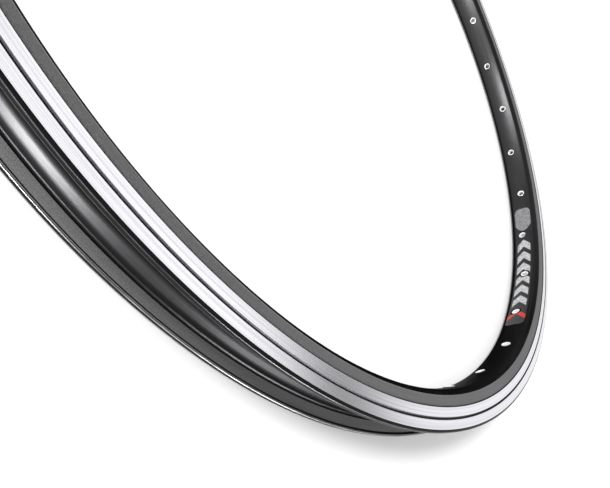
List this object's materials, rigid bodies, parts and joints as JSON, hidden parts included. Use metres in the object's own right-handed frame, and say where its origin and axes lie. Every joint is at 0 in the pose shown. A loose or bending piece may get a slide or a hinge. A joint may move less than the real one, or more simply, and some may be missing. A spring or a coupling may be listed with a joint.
{
  "type": "bicycle rim",
  "caption": "Round double-wall alloy rim with hooked tyre flanges, machined brake tracks and eyeleted spoke holes; carries a tyre and is laced to a hub.",
  "frame": {"origin": "the wheel centre, on the mid-plane between the two brake tracks", "axes": "+Z is the wheel axis, upwards as the rim lies on one side; +X runs through the valve hole"},
  "size_m": [0.5736, 0.5736, 0.0258],
  "materials": {
    "anodised_alloy": "black satin anodised, brake tracks machined bright",
    "plated_steel": "bright plated",
    "plain_alloy": "mill finish",
    "label_foil": "printed foil"
  },
  "bodies": {
    "root": {"rim_hoop": "anodised_alloy", "spoke_eyelets": "plated_steel", "joint_sleeve": "plain_alloy", "rim_label": "label_foil"}
  },
  "joints": []
}
